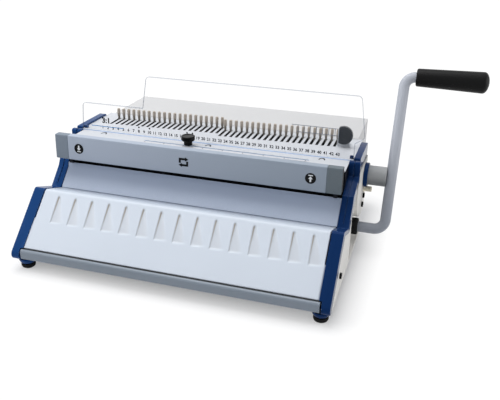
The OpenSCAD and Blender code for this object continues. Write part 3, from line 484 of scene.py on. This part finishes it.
def recess_painted_shade(across, down, sink):
    """How far a point takes the painted shade: a little all over a recess, and most on its steep wall."""
    share = down / recess_length
    across += recess_lean * (1 - share)
    full_depth = 0.0012
    floor_painted_shade = 0.16
    wall_painted_shade = 0
    if 0 < across < 0.0032:
        wall_end = 0.0034 - 0.0022 * share
        wall_painted_shade = ease((wall_end - across) / 0.0014)
    return ease(sink / full_depth) * max(floor_painted_shade, wall_painted_shade)


slope_run = (slope_head - slope_foot).normalized()
slope_out = Vector((-slope_run.y, slope_run.x))
slope_foot += slope_run * ((panel_foot - slope_foot.y) / slope_run.y)
slope_length = (slope_head - slope_foot).length
slope_rows = 68
columns_in_step = 40
columns_left = 315
columns_right = 310
column_places = range(-columns_left, columns_right + 1)
columns = [recess_left + k * recess_step / columns_in_step for k in column_places]
recess_lead = 0.003
row_shift = 0.006
panel_work = bmesh.new()
painted_shade_layer = panel_work.verts.layers.float.new("painted_recess_shade")
rows = []
for k in range(slope_rows + 1):
    down = slope_length * (1 - k / slope_rows)
    half = panel_half_at_head if down < head_reach else panel_half_at_foot
    corners = []
    for x in [-half] + columns + [half]:
        across = (x - recess_left + recess_lead) % recess_step - recess_lead
        in_row = abs(x - recess_left - row_shift) < recess_count / 2 * recess_step
        sink = recess_depth(across, down - recess_top) if in_row else 0
        place = slope_head - slope_run * down - slope_out * sink
        corner = panel_work.verts.new((x, place.x, place.y))
        # Each corner holds its share of the recess's painted shade.
        corner[painted_shade_layer] = recess_painted_shade(across, down - recess_top, sink)
        corners.append(corner)
    rows.append(corners)
for place in crest_line:
    rows.append([panel_work.verts.new((corner.co.x, *place)) for corner in rows[-1]])
for first, second in zip(rows, rows[1:]):
    for k in range(len(first) - 1):
        panel_work.faces.new((first[k], first[k + 1], second[k + 1], second[k]))
panel_mesh = bpy.data.meshes.new("front_panel_piece")
panel_work.to_mesh(panel_mesh)
panel_work.free()
panel_mesh.shade_smooth()
panel_mesh.materials.append(panel_white.material)
panel_piece = bpy.data.objects.new("front_panel_piece", panel_mesh)
panel_rim = panel_piece.modifiers.new("Rim", "SOLIDIFY")
panel_rim.thickness = panel_wall
panel_rim.offset = -1
panel_rim.use_rim_only = True
placed(panel_piece, "frame")
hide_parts("front_panel")


# Rest panel: folded sheet in a blue-grey textured paint, on which the loose pages lean.
# It lies in the shade of the bar above, so it is darker and bluer at its top.
rest_paint = moulding("rest_paint", None, 0.55, grain=0.00012, grain_scale=900)
speckle = rest_paint.noise(1100, 1.0)
rest_tone = rest_paint.mix(rest_paint.ramp("Z", 0.08, 0.105), shade("BCC6D5"), shade("99A5BA"))
rest_paint.set("Base Color", rest_paint.mix(speckle, rest_tone, shade("A5B0C5")))
softened("rest_panel", rest_paint, 0.0008)


# Closing bar: a satin extrusion, bolted to the two rack arms, with grey moulded caps on its ends.
# The caps' end faces are painted near black as painted shade, and both are painted a little lighter
# towards the left, as painted light from that side.
bar_satin = moulding("bar_satin", None, 0.38, grain=0.00002)
bar_satin.fade("X", *machine_ends, shade("A6B0C0"), shade("8F9AA8"))
softened("closing_bar", bar_satin, 0.0008, 3)
cap_grey = moulding("cap_grey", None, 0.5)
cap_grey.fade("X", *machine_ends, shade("77828F"), shade("626C73"))
caps = softened("bar_end_caps", cap_grey, 0.0008, 3)
# Painted shade: the caps' end faces are near black.
cap_end_painted_shade = moulding("cap_end_painted_shade", "1E2124", 0.6)
cap_tip = max(abs(corner.co.x) for corner in caps.data.vertices)
repaint(caps, cap_end_painted_shade, lambda normal, middle: abs(normal.x) > 0.9 and abs(middle.x) > cap_tip - 0.008)


# Bar icons: two discs with an arrow, and a pair of arrows for turning the bar round,
# screen-printed in black and white on the front of the bar.
def printed(name, outlines, place, right, up, finish, body, lift=0.00006):
    """Flat ink: outlines drawn on a face, a hair above it."""
    right, up, place = Vector(right), Vector(up), Vector(place)
    ink = right.cross(up).normalized() * lift
    work = bmesh.new()
    for outline in outlines:
        work.faces.new([work.verts.new(place + ink + right * x + up * y) for x, y in outline])
    mesh = bpy.data.meshes.new(name)
    work.to_mesh(mesh)
    work.free()
    mesh.materials.append(finish.material)
    return placed(bpy.data.objects.new(name, mesh), body)


def circle(x, y, radius, sides=40):
    turns = [2 * math.pi * k / sides for k in range(sides)]
    return [(x + radius * math.cos(t), y + radius * math.sin(t)) for t in turns]


def oblong(left, foot, right, top):
    return [(left, foot), (right, foot), (right, top), (left, top)]


print_black = moulding("print_black", "0C0D0F", 0.5, grain=0, specular_ior_level=0.1)
print_white = moulding("print_white", "D8DCE0", 0.5, grain=0)
bar_face = (-0.0761, 0.1395)
across_bar = (1, 0, 0)
bar_up = Vector((0, 0.0514, 1)).normalized()
disc_radius = 0.0072
over_ink = 0.00012
arrow = [(-0.0011, -0.0048), (0.0011, -0.0048), (0.0011, -0.0008), (0.003, -0.0008),
         (0, 0.0028), (-0.003, -0.0008), (-0.0011, -0.0008)]
arrow_stop = oblong(-0.003, 0.0033, 0.003, 0.0046)
for name, x, turn in (("left", -0.1712, -1), ("right", 0.1611, 1)):
    spot = (x, *bar_face)
    icon = [[(turn * u, turn * v) for u, v in outline] for outline in (arrow, arrow_stop)]
    printed(f"bar_disc_{name}", [circle(0, 0, disc_radius)], spot, across_bar, bar_up, print_black,
            "closer")
    printed(f"bar_arrow_{name}", icon, spot, across_bar, bar_up, print_white,
            "closer", over_ink)
upper_turn = [(-0.0068, 0.0057), (0.0022, 0.0057), (0.0022, 0.0072), (0.0072, 0.0042), (0.0022, 0.0012),
              (0.0022, 0.0027), (-0.0038, 0.0027), (-0.0038, -0.0014), (-0.0068, -0.0014)]
lower_turn = [(-x, -y) for x, y in upper_turn]
printed("bar_turn", [upper_turn, lower_turn], (-0.0127, *bar_face), across_bar, bar_up, print_black,
        "closer")


# Decks: white painted sheet on both sides of the throat, screwed down to the side plates.
# The walls of the knob's slot and the edge at the throat take the glowing pale plate as painted light,
# and the walls of the pulls' slots are painted near black as painted shade.
deck_white = moulding("deck_white", "C5C8CE", 0.4, grain=0.00003)
slots_half = 0.19


def on_slot_wall(normal, middle, front, back):
    """True for an upright face between two places from front to back, clear of the deck's ends."""
    return abs(normal.z) < 0.5 and abs(middle.x) < slots_half and front < middle.y < back


front_deck = softened("front_deck", deck_white, 0.0003)
# Painted light: the walls of the knob's slot glow faintly.
repaint(front_deck, pale_plate_painted_glow, lambda normal, middle: on_slot_wall(normal, middle, -0.04, -0.015))
rear_deck = softened("rear_deck", deck_white, 0.0002)
# Painted shade: the pulls' slot walls are near black.
slot_painted_shade = moulding("slot_painted_shade", "17181A", 0.7, grain=0)
repaint(rear_deck, slot_painted_shade, lambda normal, middle: on_slot_wall(normal, middle, 0.02, 0.09))
# Painted light: the rear deck's edge at the throat glows faintly.
repaint(rear_deck, pale_plate_painted_glow, lambda normal, middle: normal.y < -0.9 and middle.y < -0.006)


# Size scale and knob: a stepped white strip, one step for each wire, fixed along the knob's slot,
# and the black moulded knob that is screwed to its slider under the deck.
softened("size_scale", deck_white, 0.0002)
knob_black = moulding("knob_black", "050506", 0.3, grain=0.00003, drift=0.2, specular_ior_level=0.15)
softened("size_knob", knob_black, 0.0005, 3)


# Pulls: beige mouldings, one on each pin, in two rows that step back to the right.
# Each is a flat collar on its pin, a narrow stem through the deck, and a wider rounded head.
def lofted(name, levels, sides=14, square=3.2):
    """A closed body of rounded rectangles, each given as height, half width, half depth and lean."""
    work = bmesh.new()
    rings = []
    for z, wide, deep, lean in levels:
        ring = []
        for k in range(sides):
            turn = 2 * math.pi * k / sides
            c, s = math.cos(turn), math.sin(turn)
            x = math.copysign(abs(c) ** (2 / square), c) * wide
            y = math.copysign(abs(s) ** (2 / square), s) * deep
            ring.append(work.verts.new((x, y + lean, z)))
        rings.append(ring)
    for first, second in zip(rings, rings[1:]):
        for k in range(sides):
            work.faces.new((first[k], first[k - sides + 1], second[k - sides + 1], second[k]))
    work.faces.new(rings[0][::-1])
    work.faces.new(rings[-1])
    mesh = bpy.data.meshes.new(name)
    work.to_mesh(mesh)
    work.free()
    mesh.shade_smooth()
    return bpy.data.objects.new(name, mesh)


def row_tree():
    """A Geometry Nodes group that sets copies of one form in a straight row."""
    tree = bpy.data.node_groups.new("row_of_forms", "GeometryNodeTree")
    for name, kind in (("Count", "Int"), ("Start", "Vector"), ("Step", "Vector"), ("Form", "Object"),
                       ("Finish", "Material")):
        tree.interface.new_socket(name, in_out="INPUT", socket_type="NodeSocket" + kind)
    tree.interface.new_socket("Row", in_out="OUTPUT", socket_type="NodeSocketGeometry")
    given = tree.nodes.new("NodeGroupInput")
    result = tree.nodes.new("NodeGroupOutput")
    line = tree.nodes.new("GeometryNodeMeshLine")
    form = tree.nodes.new("GeometryNodeObjectInfo")
    copies = tree.nodes.new("GeometryNodeInstanceOnPoints")
    solid = tree.nodes.new("GeometryNodeRealizeInstances")
    paint = tree.nodes.new("GeometryNodeSetMaterial")
    for source, target in (
            (given.outputs["Count"], line.inputs["Count"]),
            (given.outputs["Start"], line.inputs["Start Location"]),
            (given.outputs["Step"], line.inputs["Offset"]),
            (given.outputs["Form"], form.inputs["Object"]),
            (line.outputs["Mesh"], copies.inputs["Points"]),
            (form.outputs["Geometry"], copies.inputs["Instance"]),
            (copies.outputs["Instances"], solid.inputs["Geometry"]),
            (solid.outputs["Geometry"], paint.inputs["Geometry"]),
            (given.outputs["Finish"], paint.inputs["Material"]),
            (paint.outputs["Geometry"], result.inputs["Row"])):
        tree.links.new(source, target)
    return tree


forms_in_row = row_tree()


def plain_mesh(maker):
    """What an object's modifiers or its text make, as a mesh of its own."""
    return bpy.data.meshes.new_from_object(maker.evaluated_get(bpy.context.evaluated_depsgraph_get()))


def row(name, form, count, start, step, finish, body):
    """Runs the row group once and keeps its result as a plain mesh."""
    piece = bpy.data.objects.new(name, bpy.data.meshes.new(name))
    scene.collection.objects.link(piece)
    maker = piece.modifiers.new("Row", "NODES")
    maker.node_group = forms_in_row
    values = {"Count": count, "Start": start, "Step": step, "Form": form, "Finish": finish.material}
    for item in forms_in_row.interface.items_tree:
        if item.in_out == "INPUT":
            maker[item.identifier] = values[item.name]
    made = plain_mesh(piece)
    piece.modifiers.clear()
    piece.data = made
    made.name = name
    return placed(piece, body)


pull_beige = moulding("pull_beige", None, 0.5)
# Painted shade: the pulls are darker low down, by the deck, and lighter at their heads.
pull_beige.fade("Z", 0.147, 0.158, shade("6E665E"), shade("AFA497"))
pull_form = lofted("pull_form", [
    (0.1288, 0.0032, 0.002, 0), (0.1352, 0.0032, 0.002, 0),
    (0.1354, 0.0013, 0.002, 0), (0.1462, 0.0013, 0.0019, 0),
    (0.148, 0.0016, 0.0018, -0.0001), (0.1505, 0.0019, 0.0018, -0.0003),
    (0.1536, 0.0021, 0.0019, -0.0003), (0.156, 0.0022, 0.002, -0.0002),
    (0.1592, 0.0022, 0.002, 0.0001), (0.1608, 0.0021, 0.0019, 0.0001),
    (0.1616, 0.0017, 0.0016, 0), (0.162, 0.0009, 0.001, 0)])
pin_pitch = 0.0084667
pulls_in_half = 21
pulls_middle = -0.0034
nearest_pull = 0.0565
step_back = 0.0105
first_pull = Vector((pulls_middle - (pulls_in_half - 0.5) * pin_pitch, nearest_pull, 0))
pull_step = (pin_pitch, step_back / (pulls_in_half - 1), 0)
for name, shift in (("left", 0), ("right", pulls_in_half)):
    start = first_pull + Vector((shift * pin_pitch, 0, 0))
    piece = row(f"pin_pulls_{name}_piece", pull_form, pulls_in_half, start, pull_step, pull_beige,
                "punch")
    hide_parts("pin_pulls_" + name)


# Guard: polished clear acrylic sheet that stands on the deck behind the throat.
# Its faces hardly show. Its sawn edges, and a thin band of the front face along them, are painted
# a see-through blue-grey as the painted glint of the light that the edges gather, so they read as thin
# lines.
acrylic = Finish("acrylic", base_color=(0.92, 0.96, 1, 1), roughness=0.05, alpha=0.015,
                 specular_ior_level=0.2)
acrylic_painted_edge = Finish("acrylic_painted_edge", base_color=shade("64748E"), roughness=0.4, alpha=0.42,
                      specular_ior_level=0.1)
guard = softened("clear_guard", acrylic, 0)
guard.data.materials.append(acrylic_painted_edge.material)
edge_line_width = 0.0008
guard_foot = 0.1465
guard_work = bmesh.new()
guard_work.from_mesh(guard.data)
for face in guard_work.faces:
    face.material_index = 0 if abs(face.normal.y) > 0.9 or face.normal.z < -0.9 else 1
sheet_faces = [face for face in guard_work.faces if face.normal.y < -0.9]
edge_line = bmesh.ops.inset_region(guard_work, faces=sheet_faces, thickness=edge_line_width,
                                   use_even_offset=True)
# The band along the front face's edges takes the painted edge colour, but not at the foot.
for face in edge_line["faces"]:
    face.material_index = 1 if face.calc_center_median().z > guard_foot else 0
guard_work.to_mesh(guard.data)
guard_work.free()


# Guard marks: plain numbers for the places along the row, a ratio, a blue line, four dots
# and a ruled box, screen-printed on the front of the guard.
guard_face = -0.00656
across_guard = (1, 0, 0)
guard_up = (0, 0, 1)


def lettered(name, words, finish, body, weight):
    """Printed figures: each entry is the text, its middle across, its foot and its size."""
    work = bmesh.new()
    for text, x, z, size in words:
        curve = bpy.data.curves.new(name, "FONT")
        curve.body = text
        curve.size = size
        curve.align_x = "CENTER"
        curve.resolution_u = 3
        curve.offset = weight
        carrier = bpy.data.objects.new(name, curve)
        scene.collection.objects.link(carrier)
        flat = plain_mesh(carrier)
        flat.transform(Matrix.Translation((x, guard_face, z)) @ Matrix.Rotation(math.pi / 2, 4, "X"))
        work.from_mesh(flat)
        bpy.data.objects.remove(carrier)
        bpy.data.meshes.remove(flat)
        bpy.data.curves.remove(curve)
    mesh = bpy.data.meshes.new(name)
    work.to_mesh(mesh)
    work.free()
    mesh.materials.clear()
    mesh.materials.append(finish.material)
    return placed(bpy.data.objects.new(name, mesh), body)


figure_grey = moulding("figure_grey", "1C222C", 0.5, grain=0, specular_ior_level=0.1)
first_number = -0.1708
number_pitch = 0.00842
number_foot = 0.1485
number_size = 0.006
number_count = 43
numbers = [(str(k + 1), first_number + k * number_pitch, number_foot, number_size)
           for k in range(number_count)]
lettered("row_numbers", numbers, figure_grey, "frame", 0.0002)
lettered("row_ratio", [("3:1", -0.1646, 0.1577, 0.0112)], print_black, "frame", 0.0005)
line_blue = moulding("line_blue", "6FA3D8", 0.5, grain=0, specular_ior_level=0.1)
under_figures = 0.00003
printed("row_line", [oblong(-0.0265, -0.0006, 0.0265, 0.0006)], (-0.163, guard_face + under_figures, 0.1518),
        across_guard, guard_up, line_blue, "frame")
dots = [circle(x, 0, 0.0013, 20) for x in (-0.1113, -0.0945, -0.0356, -0.0271)]
printed("row_dots", dots, (0, guard_face, 0.1566), across_guard, guard_up, print_black,
        "frame")
rule_foot = 0.1765
rule_top = 0.186
rule_right = 0.181
first_rule = 0.1265
line_half = 0.0004
rule_lines = [
    oblong(0.118, rule_top - line_half, rule_right, rule_top + line_half),
    oblong(0.1255, rule_foot - line_half, rule_right, rule_foot + line_half),
]
for k in range(7):
    x = first_rule + k * pin_pitch
    rule_lines.append(oblong(x - line_half, rule_foot, x + line_half, rule_top))
rule_grey = moulding("rule_grey", "7E8694", 0.5, grain=0, specular_ior_level=0.1)
printed("row_rule", rule_lines, (0, guard_face, 0), across_guard, guard_up, rule_grey,
        "frame")


# Deck marks: a small half ring at each end and in the middle of the throat,
# and a tick at each step of the scale, screen-printed on the paint.
def half_ring(x, y, outer, inner, tall, sides=10):
    turns = [math.pi * k / sides for k in range(sides + 1)]
    return ([(x + outer * math.cos(t), y + tall * outer * math.sin(t)) for t in turns]
            + [(x + inner * math.cos(t), y + tall * inner * math.sin(t)) for t in reversed(turns)])


deck_face = 0.145
scale_thickness = 0.001
across_deck = (1, 0, 0)
deck_back = (0, 1, 0)
ring_foot = -0.0203
ring_middles = (-0.163, 0.001, 0.164)
half_rings = [half_ring(x, ring_foot, outer=0.0045, inner=0.0028, tall=1.8) for x in ring_middles]
printed("deck_rings", half_rings, (0, 0, deck_face), across_deck, deck_back, figure_grey,
        "frame")
first_tick = -0.0898
tick_step = 0.0293
tick_front = -0.0345
tick_back = -0.0316
ticks = []
for k in range(9):
    x = first_tick + k * tick_step
    ticks.append(oblong(x - line_half, tick_front, x + line_half, tick_back))
printed("scale_ticks", ticks, (0, 0, deck_face + scale_thickness), across_deck, deck_back, figure_grey,
        "frame")


# Paper stop: a dark moulded half-round knob, which turns on a folded angle
# that is painted like the deck and screwed to it.
slate = moulding("slate_plastic", "1A2028", 0.4)
softened("stop_knob", slate, 0.0006, 3)
softened("stop_bracket", deck_white, 0.0004)


# Rear housing: a pale moulded box over the motor and the cams, screwed to the frame.
# The mains inlet, the switch frame and its rocker are black and snap into its rear wall.
housing_pale = moulding("housing_pale", "C4C4C5", 0.5)
softened("rear_housing", housing_pale, 0.002, 4)
for node in ("power_inlet", "switch_bezel", "power_rocker"):
    softened(node, knob_black, 0.0004)


# Drawer front: a rounded grey bar along the foot of the machine. The back of its top,
# which meets the foot of the front panel, is painted near black as painted shade.
drawer_grey = moulding("drawer_grey", "7A8490", 0.36, grain=0.00003, specular_ior_level=0.45)
# Painted shade: a near-black strip along the back of the top.
drawer_grey.fade("Y", -0.1886, -0.1878, drawer_grey.wired("Base Color"), shade("1B1D20"))
softened("tray_front", drawer_grey, 0.0006, 3)


# Lever: a bent tube in silver paint with a black moulded grip pushed on its end. Its turned hub
# is fixed on the closing shaft, and a nylon peg stands under it.
lever_silver = moulding("lever_silver", None, 0.36, grain=0.00003)
# Painted shade: the tube is darker towards its foot.
lever_silver.fade("Z", 0.05, 0.17, shade("8F949E"), shade("B0B4BD"))
softened("lever_tube", lever_silver, 0)
grip_black = moulding("grip_black", "080809", 0.45, grain=0.00008, drift=0.2, specular_ior_level=0.12)
softened("lever_grip", grip_black, 0.0006)
hub_heights = [corner.co.z for corner in frame["nodes"]["lever_hub"].data.vertices]
hub_middle = (min(hub_heights) + max(hub_heights)) / 2
hub_grey = moulding("hub_grey", None, 0.5, grain=0.0001)
# Painted shade: the hub's lower half is darker.
hub_grey.fade("Z", hub_middle - 0.008, hub_middle + 0.004, shade("74777A"), shade("989A9C"))
softened("lever_hub", hub_grey, 0.0008)
nylon = moulding("nylon", "F2EBD6", 0.5)
softened("nylon_peg", nylon, 0.0004)
